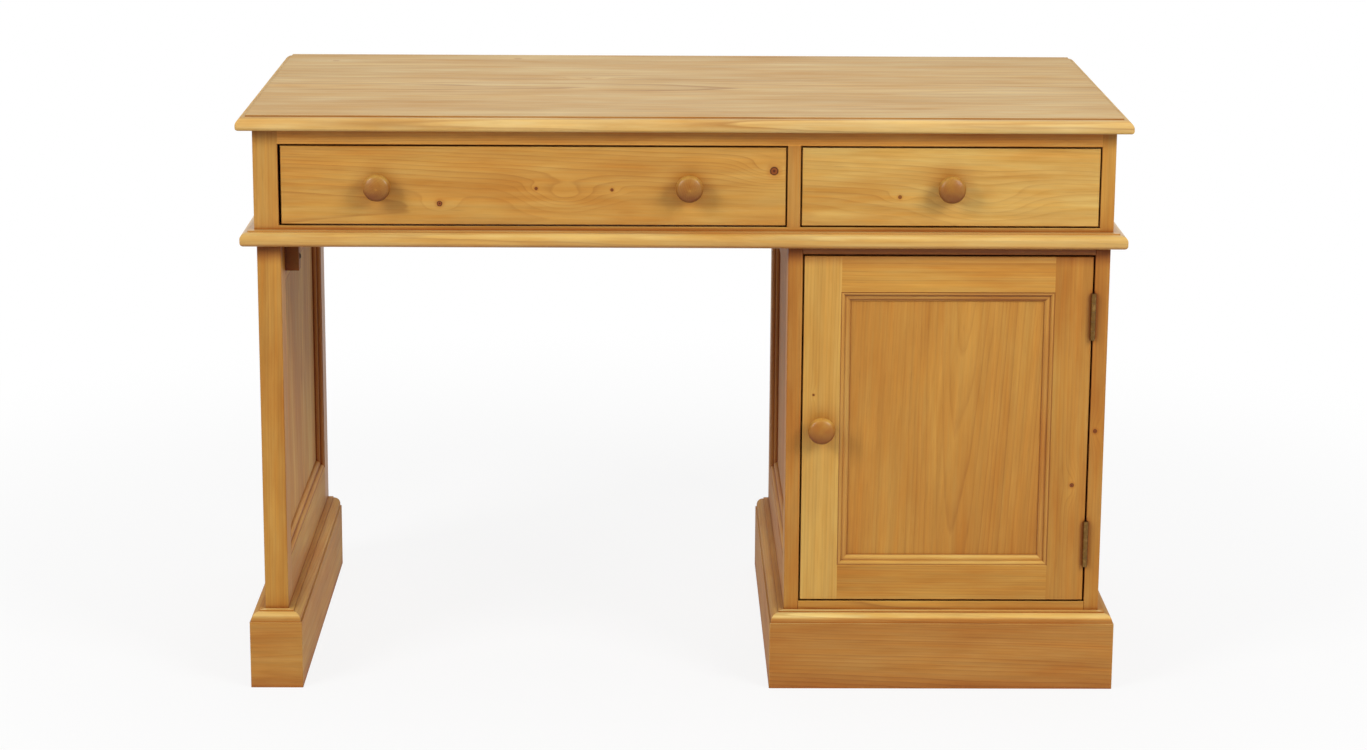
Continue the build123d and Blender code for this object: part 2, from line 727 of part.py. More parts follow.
# --- The whole desk ------------------------------------------------------------------------------
def make_desk():
    left_drawer = (left_opening[0] + left_drawer_gap_left, left_opening[1] - drawer_gap_side)
    right_drawer = (right_opening[0] + drawer_gap_side, right_opening[1] - drawer_gap_side)
    left_knobs = (left_drawer[0] + drawer_knob_inset, left_drawer[1] - drawer_knob_inset)
    right_knob = ((right_drawer[0] + right_drawer[1]) / 2,)
    return {
        "desk_top": make_desk_top(),
        **make_face_frame(),
        **make_case(),
        **make_waist(),
        **make_leg(),
        **make_plinth((leg_outer, leg_inner), "leg_plinth"),
        **make_pedestal(),
        **make_plinth((pedestal_left, pedestal_right), "pedestal_plinth"),
        **make_drawer("left_drawer", left_drawer, left_knobs),
        **make_drawer("right_drawer", right_drawer, right_knob),
        **make_door(),
        **make_hinges(),
        **make_catch(),
    }


os.makedirs("parts", exist_ok=True)
for node, shape in make_desk().items():
    solids = shape if isinstance(shape, list) else [shape]
    pieces = [solid for piece in solids for solid in piece.solids()]
    export_step(Compound(children=pieces) if len(pieces) > 1 else pieces[0], f"parts/{node}.step")
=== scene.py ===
import math

import bmesh
import bpy
from mathutils import Matrix, Vector


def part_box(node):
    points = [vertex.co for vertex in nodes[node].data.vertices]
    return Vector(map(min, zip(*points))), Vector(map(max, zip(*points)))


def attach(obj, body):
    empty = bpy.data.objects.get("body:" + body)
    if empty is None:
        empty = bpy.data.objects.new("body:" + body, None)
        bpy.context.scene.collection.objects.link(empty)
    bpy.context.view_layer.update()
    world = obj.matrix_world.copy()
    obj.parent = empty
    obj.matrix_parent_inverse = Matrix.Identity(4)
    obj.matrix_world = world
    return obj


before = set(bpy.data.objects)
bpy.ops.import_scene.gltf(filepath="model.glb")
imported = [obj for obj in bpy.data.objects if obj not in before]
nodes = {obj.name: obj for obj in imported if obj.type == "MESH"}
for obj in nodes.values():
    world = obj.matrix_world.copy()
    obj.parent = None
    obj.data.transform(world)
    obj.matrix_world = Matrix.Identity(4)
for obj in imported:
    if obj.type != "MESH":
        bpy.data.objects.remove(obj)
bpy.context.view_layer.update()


# ---- Studio ----
# A plain pale floor that runs out of sight, a white backdrop behind and a dimmer room in front, two soft
# boxes high at the front, left and right, a wide soft panel overhead and a weak one behind.

def add(tree, kind, sockets=None, **settings):
    """One shader node. A socket given another node's output is joined to it, and any other value is set."""
    made = tree.nodes.new("ShaderNode" + kind)
    for name, value in settings.items():
        setattr(made, name, value)
    for name, value in (sockets or {}).items():
        if isinstance(value, bpy.types.NodeSocket):
            tree.links.new(value, made.inputs[name])
        else:
            made.inputs[name].default_value = value
    return made


def calc(tree, operation, first, second=0.0, clamp=False):
    """The output of one Math node."""
    return add(tree, "Math", {0: first, 1: second}, operation=operation, use_clamp=clamp).outputs[0]


def seen_ray(tree):
    """1 for the rays that show a surface as it is: to the camera, in a reflection or through glass."""
    path = add(tree, "LightPath")
    shown = calc(tree, "ADD", path.outputs["Is Camera Ray"], path.outputs["Is Glossy Ray"], clamp=True)
    return calc(tree, "ADD", shown, path.outputs["Is Transmission Ray"], clamp=True)


world = bpy.data.worlds.new("surround")
bpy.context.scene.world = world
world.use_nodes = True
sky = world.node_tree
sky.nodes.clear()
toward = add(sky, "SeparateXYZ", {0: add(sky, "TexCoord").outputs["Generated"]}).outputs["Y"]


def from_room_to_backdrop(room, backdrop):
    """A strength that eases from the room in front to the backdrop behind."""
    sockets = {"Value": toward, "From Min": -0.35, "From Max": 0.45, "To Min": room, "To Max": backdrop}
    return add(sky, "MapRange", sockets, interpolation_type="SMOOTHSTEP").outputs[0]


light = from_room_to_backdrop(room=0.12, backdrop=0.46)
shine = calc(sky, "MULTIPLY", seen_ray(sky), from_room_to_backdrop(room=0.45, backdrop=1.0))
seen = calc(sky, "MAXIMUM", shine, add(sky, "LightPath").outputs["Is Camera Ray"])
white = add(sky, "Background", {"Color": (1, 1, 1, 1), "Strength": calc(sky, "MAXIMUM", light, seen)})
add(sky, "OutputWorld", {"Surface": white.outputs[0]})

floor_size = 60.0
shadow_reach = (0.8, 2.0)
glow_at_desk = 0.86
paper_colour = (0.66, 0.66, 0.66, 1)
bpy.ops.object.select_all(action="DESELECT")
bpy.ops.mesh.primitive_plane_add(size=floor_size, location=(0, 0, 0))
floor = bpy.context.object
floor.name = "floor"
paper = bpy.data.materials.new("floor paper")
paper.use_nodes = True
sheet = paper.node_tree
sheet.nodes.clear()
plane = add(sheet, "TexCoord").outputs["Object"]
away = add(sheet, "VectorMath", {0: plane}, operation="LENGTH").outputs["Value"]
fade = add(sheet, "MapRange", {"Value": away, "From Min": shadow_reach[0], "From Max": shadow_reach[1]},
           interpolation_type="SMOOTHSTEP").outputs[0]
glow = add(sheet, "MapRange", {"Value": fade, "To Min": glow_at_desk, "To Max": 1.0}).outputs[0]
matt = add(sheet, "BsdfDiffuse", {"Color": paper_colour})
bright = add(sheet, "Emission", {"Color": (1, 1, 1, 1), "Strength": 1.0})
lit = add(sheet, "MixShader", {0: glow, 1: matt.outputs[0], 2: bright.outputs[0]})
both = add(sheet, "MixShader", {0: seen_ray(sheet), 1: matt.outputs[0], 2: lit.outputs[0]})
add(sheet, "OutputMaterial", {"Surface": both.outputs[0]})
floor.data.materials.append(paper)


def soft_box(name, place, aim, size, power):
    """A square soft lamp at a place, turned to face a point."""
    lamp = bpy.data.lights.new(name, "AREA")
    lamp.shape = "SQUARE"
    lamp.size = size
    lamp.energy = power
    holder = bpy.data.objects.new(name, lamp)
    holder.location = place
    direction = [a - p for a, p in zip(aim, place)]
    level = math.hypot(direction[0], direction[1])
    holder.rotation_euler = (math.atan2(level, -direction[2]), 0, math.atan2(-direction[0], direction[1]))
    bpy.context.scene.collection.objects.link(holder)


soft_box("left soft box", place=(-2.7, -2.5, 2.55), aim=(0, 0, 0.6), size=1.6, power=112)
soft_box("right soft box", place=(2.5, -2.5, 2.55), aim=(0, 0, 0.6), size=1.6, power=112)
soft_box("overhead panel", place=(0, 0.3, 3.2), aim=(0, 0, 0.8), size=2.0, power=24)
soft_box("back fill", place=(0, 2.8, 3.2), aim=(0, 0, 0.3), size=1.6, power=30)

camera_data = bpy.data.cameras.new("camera")
camera_data.sensor_width = 36
camera_data.lens = 83.18
camera_data.shift_y = -0.04
camera = bpy.data.objects.new("camera", camera_data)
camera.location = (-0.0543, -4.4591, 1.4666)
camera.rotation_euler = (math.radians(77.2366), math.radians(-0.3381), math.radians(-0.6568))
bpy.context.scene.collection.objects.link(camera)
bpy.context.scene.camera = camera
bpy.context.scene.view_settings.view_transform = "Standard"


# ---- Leg ----
# The framed end leg under the left of the case: two stiles and two rails, tenoned, in honey-stained pine
# with a satin lacquer, round a flat panel held by mitred beads. Two screwed blocks fix it to the case.

def vector(tree, operation, first, second=(0, 0, 0), value=False):
    """The output of one Vector Math node."""
    made = add(tree, "VectorMath", {0: first, 1: second}, operation=operation)
    return made.outputs["Value" if value else "Vector"]


def noise(tree, place, stretch, detail=2.0, rough=0.5):
    """A noise that runs from 0 to 1, with its features per metre given along each axis."""
    sockets = {"Vector": vector(tree, "MULTIPLY", place, stretch), "Scale": 1.0, "Detail": detail,
               "Roughness": rough}
    return add(tree, "TexNoise", sockets).outputs["Fac"]


def between(tree, value, low, high, new_low=0.0, new_high=1.0, smooth=False):
    """A value mapped from one range to another and kept inside it."""
    sockets = {"Value": value, "From Min": low, "From Max": high, "To Min": new_low, "To Max": new_high}
    kind = "SMOOTHSTEP" if smooth else "LINEAR"
    return add(tree, "MapRange", sockets, interpolation_type=kind).outputs[0]


def blend(tree, amount, first, second, how="MIX"):
    """Two colours mixed."""
    made = add(tree, "Mix", {"Factor": amount}, data_type="RGBA", blend_type=how)
    for socket, value in ((6, first), (7, second)):
        if isinstance(value, bpy.types.NodeSocket):
            tree.links.new(value, made.inputs[socket])
        else:
            made.inputs[socket].default_value = (*value, 1)
    return made.outputs[2]


def times(tree, colour, factor, amount=1.0):
    """A colour multiplied by another one, wholly or in part."""
    return blend(tree, amount, colour, factor, "MULTIPLY")


def blank(name):
    """A new material with an empty node tree."""
    material = bpy.data.materials.new(name)
    material.use_nodes = True
    material.node_tree.nodes.clear()
    return material, material.node_tree


# The colours of the early and the late wood, where pine is stained and where it is left bare.
STAINED = {"early": (0.452, 0.228, 0.041), "late": (0.235, 0.082, 0.011)}
BARE = {"early": (0.76, 0.56, 0.31), "late": (0.58, 0.36, 0.15)}


def either_way(tree, value, reach):
    """A noise of 0 to 1 made a shift of up to half the reach either way."""
    return calc(tree, "MULTIPLY", calc(tree, "SUBTRACT", value, 0.5), reach)


def round_a_frame(tree, split, level, low, high):
    """For a frame of mitred beads in a box: a point's place in the wood of the bead that it is in, lying or
    standing, and its depth inside the outline of the frame."""
    inward = []
    for axis in (level, "Z"):
        number = "XYZ".index(axis)
        middle = (high[number] + low[number]) / 2
        out = calc(tree, "ABSOLUTE", calc(tree, "SUBTRACT", split[axis], middle))
        inward.append(calc(tree, "SUBTRACT", (high[number] - low[number]) / 2, out))
    depth = "Y" if level == "X" else "X"
    standing = add(tree, "CombineXYZ", {0: split[level], 1: split[depth], 2: split["Z"]}).outputs[0]
    lying = add(tree, "CombineXYZ", {0: split["Z"], 1: split[depth], 2: split[level]}).outputs[0]
    lies_level = calc(tree, "GREATER_THAN", inward[0], inward[1])
    chosen = add(tree, "Mix", {"Factor": lies_level, 4: standing, 5: lying}, data_type="VECTOR")
    return chosen.outputs[1], calc(tree, "MINIMUM", inward[0], inward[1])


def in_the_tree(tree, turned, split, heart, tilt, boards):
    """A point's place in the tree that the wood was sawn from, with the heart along Z. Where one node holds
    several boards, each comes out of another part of the tree."""
    if boards:
        axis, start, pitch = boards
        count = calc(tree, "FLOOR", calc(tree, "DIVIDE", calc(tree, "SUBTRACT", split[axis], start), pitch))
        drawn = add(tree, "TexWhiteNoise", {"W": count}, noise_dimensions="1D").outputs["Color"]
        apart = (0.09, 0.03, 2.0)
        moved = vector(tree, "MULTIPLY", vector(tree, "SUBTRACT", drawn, (0.5, 0.5, 0.5)), apart)
        turned = vector(tree, "ADD", turned, moved)
    turn = (math.radians(tilt[0]), math.radians(tilt[1]), 0)
    return add(tree, "Mapping", {"Vector": turned, "Location": heart, "Rotation": turn},
               vector_type="TEXTURE").outputs[0]


def round_knots(tree, place, knots, grain, face):
    """For each knot, which runs back from the face: the distance from its middle and how much the grain
    swells round it, with the knot's size, pull and darkness."""
    through_face = [0.12 if axis == face else 1 for axis in "XYZ"]
    along_grain = [0.42 if axis == grain else 1 for axis in "XYZ"]
    swirl_share = 3.2
    fields = []
    for centre, size, pull, dark in knots:
        away = vector(tree, "MULTIPLY", vector(tree, "SUBTRACT", place, centre), through_face)
        swirl = swirl_share * size
        flow = vector(tree, "MULTIPLY", away, [share / swirl for share in along_grain])
        flow = vector(tree, "LENGTH", flow, value=True)
        swell = calc(tree, "EXPONENT", calc(tree, "MULTIPLY", calc(tree, "MULTIPLY", flow, flow), -1.0))
        fields.append((vector(tree, "LENGTH", away, value=True), swell, size, pull, dark))
    return fields


def years_of_growth(tree, trunk, ring, fields):
    """Distance from the heart in years, wandering along the trunk, wider in good years and pulled round the
    knots."""
    radius = vector(tree, "LENGTH", vector(tree, "MULTIPLY", trunk, (1, 1, 0)), value=True)
    wander = either_way(tree, noise(tree, trunk, (13, 13, 1.5), 3.0), reach=0.014)
    ripple = either_way(tree, noise(tree, trunk, (70, 70, 9)), reach=0.0016)
    radius = calc(tree, "ADD", radius, calc(tree, "ADD", wander, ripple))
    spells_to_a_metre = 42
    gained_years = 2.2
    outward = calc(tree, "MULTIPLY", radius, spells_to_a_metre)
    spell = add(tree, "TexNoise", {"W": outward, "Scale": 1.0, "Detail": 1.0}, noise_dimensions="1D")
    gained = calc(tree, "MULTIPLY", spell.outputs["Fac"], gained_years)
    years = calc(tree, "ADD", calc(tree, "DIVIDE", radius, ring), gained)
    for _, swell, _, pull, _ in fields:
        years = calc(tree, "ADD", years, calc(tree, "MULTIPLY", swell, pull))
    return years


def late_wood(tree, trunk, years, line):
    """How much a point is of a year's late wood, which is as dark as that summer made it."""
    summer = add(tree, "TexWhiteNoise", {"W": calc(tree, "FLOOR", years)}, noise_dimensions="1D").outputs[0]
    season = add(tree, "ValToRGB", {"Fac": calc(tree, "FRACT", years)})
    ramp = season.color_ramp
    ramp.elements[0].color = (0, 0, 0, 1)
    ramp.elements[1].position = 1.0
    ramp.elements[1].color = (0, 0, 0, 1)
    for position, shade in ((0.30, 0.06), (0.70, 0.35), (0.90, 1.0)):
        ramp.elements.new(position).color = (shade, shade, shade, 1)
    strength = between(tree, noise(tree, trunk, (8, 8, 1.1)), 0.3, 0.7, 0.5 * line, 1.2 * line)
    strength = calc(tree, "MULTIPLY", strength, between(tree, summer, 0.0, 1.0, 0.3, 1.25))
    return calc(tree, "MULTIPLY", season.outputs[0], strength)


def patchy(tree, colour, amount, spread, paler, darker):
    """A colour made paler where a noise is low and darker where it is high."""
    amount = between(tree, amount, 0.5 - spread, 0.5 + spread)
    return blend(tree, amount, times(tree, colour, paler), times(tree, colour, darker))


def with_fibres(tree, colour, trunk, fibre):
    """Fine fibres, longer streaks and the short dark dashes of the resin ducts."""
    streak = noise(tree, trunk, (110, 110, 2.4), 5.0, 0.62)
    duct = between(tree, noise(tree, trunk, (900, 900, 26), 1.0), 0.66, 0.74)
    shade = calc(tree, "ADD", between(tree, fibre, 0.25, 0.75, 0.95, 1.05),
                 between(tree, streak, 0.28, 0.72, -0.10, 0.10))
    shade = calc(tree, "SUBTRACT", shade, calc(tree, "MULTIPLY", duct, 0.10))
    return add(tree, "HueSaturation", {"Value": shade, "Color": colour}).outputs[0]


def with_knots(tree, colour, fibre, fields):
    """Knots: redder heartwood between a dark rim and a dark pith, with a stained halo, in paler wood."""
    paler_wood = (1.10, 1.18, 1.30)
    halo_stain = (0.86, 0.62, 0.40)
    rim_colour = (0.060, 0.010, 0.0)
    heart_colour = (0.215, 0.050, 0.004)
    for away, swell, size, _, dark in fields:
        ragged = calc(tree, "ADD", away, either_way(tree, fibre, reach=0.35 * size))
        colour = times(tree, colour, paler_wood, calc(tree, "MULTIPLY", swell, 0.8))
        halo = between(tree, ragged, 1.1 * size, 2.3 * size, 0.55 * dark, 0.0, smooth=True)
        colour = times(tree, colour, halo_stain, halo)
        core = between(tree, ragged, 0.85 * size, 1.15 * size, dark, 0.0, smooth=True)
        off_rim = calc(tree, "ABSOLUTE", calc(tree, "SUBTRACT", ragged, 0.88 * size))
        rim = between(tree, off_rim, 0.05 * size, 0.28 * size, 1.0, 0.0, smooth=True)
        pith = between(tree, ragged, 0.15 * size, 0.45 * size, 1.0, 0.0)
        heartwood = blend(tree, pith, heart_colour, rim_colour)
        colour = blend(tree, core, colour, blend(tree, rim, heartwood, rim_colour))
    return colour


def stain_and_shade_in_hollows(tree, colour, upward, crease_stain_and_shade, joints):
    """Painted shade from ambient occlusion under the mouldings and round the knobs, stain and painted shade
    in the narrow creases and where a bead meets its frame, less of both on ledges that look up to the light,
    and painted shade down in the gaps between parts."""
    nook_shade_reach = 0.028
    nook_shade_colour = (0.80, 0.56, 0.36)
    crease_reach = 0.007
    crease_stain_and_shade_colour = (0.56, 0.36, 0.22)
    gap_shade_colour = (0.110, 0.020, 0.005)
    # Ambient occlusion sets each darkening: painted shade in nooks and gaps, stain and painted shade in
    # creases, and less of it on faces that look up to the light.
    unlit_share = between(tree, upward, 0.25, 0.85, 1.0, 0.25)
    nook_occlusion = add(tree, "AmbientOcclusion", {"Distance": nook_shade_reach}, samples=8).outputs["AO"]
    darkening = calc(tree, "MULTIPLY", between(tree, nook_occlusion, 0.42, 0.97, 0.95, 0.0), unlit_share)
    colour = times(tree, colour, nook_shade_colour, darkening)
    crease_occlusion = add(tree, "AmbientOcclusion", {"Distance": crease_reach}, samples=8).outputs["AO"]
    darkening = calc(tree, "MULTIPLY", between(tree, crease_occlusion, 0.38, 0.92, crease_stain_and_shade, 0.0), unlit_share)
    colour = times(tree, colour, crease_stain_and_shade_colour, darkening)
    return blend(tree, between(tree, crease_occlusion, 0.08, 0.34, joints, 0.0), colour, gap_shade_colour)


def shaded(material, colour, roughness, height, strength, depth, constants):
    """Closes a material: its colour, its roughness, its relief from a height at a strength and a depth, and
    on the shader's own sockets what is the same all over."""
    tree = material.node_tree
    relief = add(tree, "Bump", {"Strength": strength, "Distance": depth, "Height": height}).outputs[0]
    finish = add(tree, "BsdfPrincipled", {"Base Color": colour, "Roughness": roughness, "Normal": relief,
                                          **constants})
    add(tree, "OutputMaterial", {"Surface": finish.outputs[0]})
    return material


def pine(name, grain, heart, tilt=(0.0, 0.0), ring=0.0036, wood=STAINED, tint=(1.0, 1.0, 1.0), line=0.45,
         patches=1.0, boards=None, mitre=None, face="Y", knots=(), sheen=0.44, coat=0.12, edge=None,
         crease_stain_and_shade=0.95, joints=0.9, painted_shadow_below=None, gloss=1.33, upward_light_tint=(1.12, 1.24, 1.45)):
    """Solid pine. grain is the axis that the fibres follow and face the axis that its face looks along. heart
    is where the tree's centre lies across the other two axes, in their order, and then along the grain, and
    tilt turns the tree from the board, in degrees. ring is the width of a year's growth, line how much the
    late wood shows and patches how narrow the steps from pale to dark stain are. boards is an axis, a start
    and a pitch where one node holds several boards. mitre is the level axis of a frame of beads and the box
    that they stand in. A knot is its middle, its size, its pull on the grain and its darkness. edge is the
    tint of a painted highlight on the mouldings round the face, quirks how much stain and painted shade go
    into narrow places, joints how dark the painted shade is down in a gap between parts, sheltered the
    height of a moulding under which a painted shadow is put on the wood, and ledge the tint of painted light
    on what looks up. sheen is the roughness of the lacquer, gloss its index of refraction and coat the weight
    of the clear coat over it."""
    material, tree = blank(name)
    coordinates = add(tree, "TexCoord")
    place = coordinates.outputs["Object"]
    split = add(tree, "SeparateXYZ", {0: place}).outputs
    normal = add(tree, "SeparateXYZ", {0: coordinates.outputs["Normal"]}).outputs
    stained = wood is STAINED
    if mitre:
        turned, inset = round_a_frame(tree, split, *mitre)
    else:
        first, second = [axis for axis in "XYZ" if axis != grain]
        turned = add(tree, "CombineXYZ", {0: split[first], 1: split[second], 2: split[grain]}).outputs[0]
    trunk = in_the_tree(tree, turned, split, heart, tilt, boards)
    fields = round_knots(tree, place, knots, grain, face)
    late = late_wood(tree, trunk, years_of_growth(tree, trunk, ring, fields), line)
    early_colour = tuple(a * b for a, b in zip(wood["early"], tint))
    late_colour = tuple(a * b for a, b in zip(wood["late"], tint))
    colour = blend(tree, late, early_colour, late_colour)

    # Pale gold where the stain ran off the hard wood and orange where it sank in, then fibres and knots.
    pale_gold = (1.12, 1.23, 1.45)
    orange = (0.90, 0.77, 0.60)
    broad = noise(tree, trunk, (15, 15, 3.2), 3.0, 0.55)
    small = noise(tree, trunk, (55, 55, 8), 3.0, 0.6)
    uneven = calc(tree, "ADD", calc(tree, "MULTIPLY", broad, 0.66), calc(tree, "MULTIPLY", small, 0.34))
    spread = (0.13 if stained else 0.32) / patches
    colour = patchy(tree, colour, uneven, spread, pale_gold, orange)
    if stained:
        flush = noise(tree, trunk, (125, 125, 8), 3.0, 0.6)
        yellower = (1.0, 1.05, 1.18)
        redder = (1.0, 0.94, 0.83)
        colour = patchy(tree, colour, flush, spread, yellower, redder)
    fibre = noise(tree, trunk, (420, 420, 7), 3.0, 0.6)
    colour = with_fibres(tree, colour, trunk, fibre)
    colour = with_knots(tree, colour, fibre, fields)

    # Painted shade in the hollows and gaps, stain and painted shade in narrow creases, a painted shadow
    # under a moulding, and a dark line where a bead meets its frame.
    if stained:
        colour = stain_and_shade_in_hollows(tree, colour, normal["Z"], crease_stain_and_shade, joints)
    # A painted shadow darkens the wood just under the moulding at the given height.
    if painted_shadow_below:
        shade_starts = painted_shadow_below - 0.030
        shade_is_full = painted_shadow_below - 0.008
        painted_shadow_colour = (0.66, 0.50, 0.44)
        in_painted_shadow = between(tree, split["Z"], shade_starts, shade_is_full, smooth=True)
        colour = times(tree, colour, painted_shadow_colour, in_painted_shadow)
    if mitre:
        seam_stain = (0.50, 0.34, 0.22)
        seam = between(tree, inset, 0.0004, 0.0014, 0.9, 0.0, smooth=True)
        colour = times(tree, colour, seam_stain, seam)

    # Painted light on what looks up and painted shade on what looks down, a painted highlight on the
    # mouldings round the face, and end grain that drinks more stain.
    if stained and face != "Z":
        colour = times(tree, colour, upward_light_tint, between(tree, normal["Z"], 0.05, 0.60))
        downward_shade = (0.60, 0.44, 0.32) if mitre else (0.76, 0.62, 0.48)
        colour = times(tree, colour, downward_shade, between(tree, normal["Z"], -0.60, -0.05, 1.0, 0.0))
    if edge:
        painted_highlight = between(tree, calc(tree, "ABSOLUTE", normal[face]), 0.80, 0.99, 1.0, 0.0, smooth=True)
        colour = times(tree, colour, edge, painted_highlight)
    if not mitre:
        end_grain = (0.80, 0.70, 0.58)
        end = between(tree, calc(tree, "ABSOLUTE", normal[grain]), 0.6, 0.95, smooth=True)
        colour = times(tree, colour, end_grain, end)

    roughness = between(tree, fibre, 0.2, 0.8, sheen - 0.05, sheen + 0.07)
    height = calc(tree, "SUBTRACT", calc(tree, "MULTIPLY", fibre, 0.6), calc(tree, "MULTIPLY", late, 0.5))
    constants = {"IOR": gloss}
    if stained and coat:
        constants.update({"Coat Weight": coat, "Coat IOR": 1.4, "Coat Roughness": 0.28})
    return shaded(material, colour, roughness, height, strength=0.25, depth=0.00025, constants=constants)


def finish_with(material, *names):
    """Gives CAD nodes their finish."""
    for name in names:
        for slot in nodes[name].material_slots:
            slot.material = material


under_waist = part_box("waist_moulding_front")[0][2]
finish_with(pine("leg front stile", "Z", (-0.70, -0.20, 0.3), tilt=(0.5, 0.8), line=0.3, coat=0.0,
                 sheen=0.58, tint=(0.89, 0.81, 0.70), painted_shadow_below=under_waist), "leg_stile_front")
finish_with(pine("leg back stile", "Z", (-0.56, 0.34, 0.2), tilt=(0.6, 0.3), tint=(0.85, 0.72, 0.62),
                 coat=0.0, sheen=0.40, painted_shadow_below=under_waist), "leg_stile_back")
finish_with(pine("leg rails", "Y", (-0.50, 0.66, 0.0), tilt=(0.8, 1.0), coat=0.0, sheen=0.62,
                 tint=(0.95, 0.94, 0.88), boards=("Z", 0.0, 0.3), painted_shadow_below=under_waist),
            "leg_rail_top", "leg_rail_bottom")
finish_with(pine("leg panel", "Z", (-0.64, 0.05, 0.25), tilt=(1.2, 2.0), coat=0.0, sheen=0.62, face="X",
                 line=0.62, patches=1.5, tint=(0.99, 1.00, 0.94)), "leg_panel")
low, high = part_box("leg_panel_beads")
# The beads' darker tint is painted shade, for the leg's inner side that stands in the shade of the case.
finish_with(pine("leg beads", "Z", (-0.30, -0.25, 0.3), tilt=(0.4, 0.6), coat=0.0, sheen=0.62,
                 tint=(0.74, 0.54, 0.46), mitre=("Y", low, high), upward_light_tint=(1.40, 1.85, 2.30)),
            "leg_panel_beads")
# The blocks' dark tint is partly their own colour and partly painted shade from the case above them.
finish_with(pine("fixing blocks", "Y", (-0.50, 0.50, 0.0), tint=(0.55, 0.38, 0.30), coat=0.0, sheen=0.62),
            "leg_fixing_blocks")


def choose(piece, test):
    """In edit mode, selects the faces whose middle and normal pass a test, and nothing else."""
    bpy.ops.mesh.select_mode(type="FACE")
    bpy.ops.mesh.select_all(action="DESELECT")
    shape = bmesh.from_edit_mesh(piece.data)
    shape.normal_update()
    for side in shape.faces:
        side.select_set(test(side.calc_center_median(), side.normal))
    bmesh.update_edit_mesh(piece.data)


def cut_screw(head, neck, sink, dome, shank, slot):
    """A slotted wood screw to copy, its head up with the rim at z = 0: sink is the depth of the cone under
    the rim and dome the rise above it, and the shank is only as long as its hole shows. The slot's floor is a
    little shorter than its mouth."""
    bpy.ops.object.select_all(action="DESELECT")
    bpy.ops.mesh.primitive_cone_add(vertices=32, radius1=neck, radius2=head, depth=sink, location=(0, 0, 0))
    screw = bpy.context.object
    bpy.ops.object.mode_set(mode="EDIT")
    bpy.ops.mesh.select_all(action="SELECT")
    bpy.ops.transform.translate(value=(0, 0, -sink / 2))
    choose(screw, lambda middle, normal: normal.z < -0.9)
    bpy.ops.mesh.extrude_region_move(TRANSFORM_OT_translate={"value": (0, 0, -shank)})
    choose(screw, lambda middle, normal: normal.z > 0.9)
    for width, rise in ((0.10, 0.45), (0.30, 0.40), (0.30, 0.15)):
        bpy.ops.mesh.inset(thickness=width * head, depth=rise * dome)
    for side in (-1, 1):
        bpy.ops.mesh.select_all(action="SELECT")
        bpy.ops.mesh.bisect(plane_co=(side * slot / 2, 0, 0), plane_no=(1, 0, 0))
    choose(screw, lambda middle, normal: (normal.z > 0.3 and abs(middle.x) < slot / 2
                                          and middle.z > -0.1 * sink))
    slot_depth = 0.8 * slot + 0.4 * dome
    slot_floor = 0.86
    bpy.ops.mesh.extrude_region_move(TRANSFORM_OT_translate={"value": (0, 0, -slot_depth)})
    bpy.ops.transform.resize(value=(1, slot_floor, 1), center_override=(0, 0, 0))
    bpy.ops.object.mode_set(mode="OBJECT")
    bpy.ops.object.shade_smooth_by_angle(angle=math.radians(35))
    return screw


def set_copy(pattern, name, place, facing, spin, body, material):
    """A copy of a piece made head up at the origin, spun, turned to face a direction and set in its place."""
    mesh = pattern.data.copy()
    turn = Vector((0, 0, 1)).rotation_difference(Vector(facing)).to_matrix().to_4x4()
    mesh.transform(Matrix.Translation(place) @ turn @ Matrix.Rotation(math.radians(spin), 4, "Z"))
    copy = bpy.data.objects.new(name, mesh)
    bpy.context.scene.collection.objects.link(copy)
    mesh.materials.clear()
    mesh.materials.append(material)
    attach(copy, body)
    return copy


def metal(name, colour, worn, hollow_colour, rough):
    """Plated or antiqued metal: mottled colour, fine tumbling marks, dirty in the hollows."""
    material, tree = blank(name)
    place = add(tree, "TexCoord").outputs["Object"]
    mottle = noise(tree, place, (220, 220, 150), 4.0, 0.6)
    brushed = noise(tree, place, (3600, 3600, 1400), 2.0, 0.6)
    base = blend(tree, between(tree, mottle, 0.36, 0.66), colour, tuple(0.66 * c for c in colour))
    base = blend(tree, between(tree, brushed, 0.45, 0.75, 0.0, 0.30), base, worn)
    base = blend(tree, between(tree, mottle, 0.46, 0.30, 0.0, 0.45), base, worn)
    hollow_reach = 0.004
    hollow = add(tree, "AmbientOcclusion", {"Distance": hollow_reach}, samples=6).outputs["AO"]
    base = blend(tree, between(tree, hollow, 0.25, 0.80, 0.85, 0.0), base, hollow_colour)
    roughness = between(tree, mottle, 0.3, 0.7, rough - 0.06, rough + 0.08)
    return shaded(material, base, roughness, brushed, strength=0.1, depth=0.0001, constants={"Metallic": 1.0})


zinc = metal("zinc plate", colour=(0.56, 0.56, 0.54), worn=(0.74, 0.74, 0.72), hollow_colour=(0.16, 0.15, 0.14),
             rough=0.34)
bronzed = metal("bronzed steel", colour=(0.120, 0.066, 0.034), worn=(0.200, 0.120, 0.060),
                hollow_colour=(0.030, 0.016, 0.010), rough=0.42)
block_screw = cut_screw(head=0.0042, neck=0.0022, sink=0.0006, dome=0.0018, shank=0.004, slot=0.0009)
low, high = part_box("leg_fixing_blocks")
block_depth = 0.022
rim_proud = 0.0002
screw_height = low[2] + 0.40 * (high[2] - low[2])
for number, y in enumerate((low[1] + block_depth / 2, high[1] - block_depth / 2)):
    set_copy(block_screw, f"fixing_block_screw_{number + 1}", (high[0] + rim_proud, y, screw_height),
             (1, 0, 0), 35 + 50 * number, "carcass", bronzed)
bpy.data.objects.remove(block_screw)


# ---- Plinths ----
# The moulded plinths of leg and pedestal: a front board and two side boards each, mitred at the front.

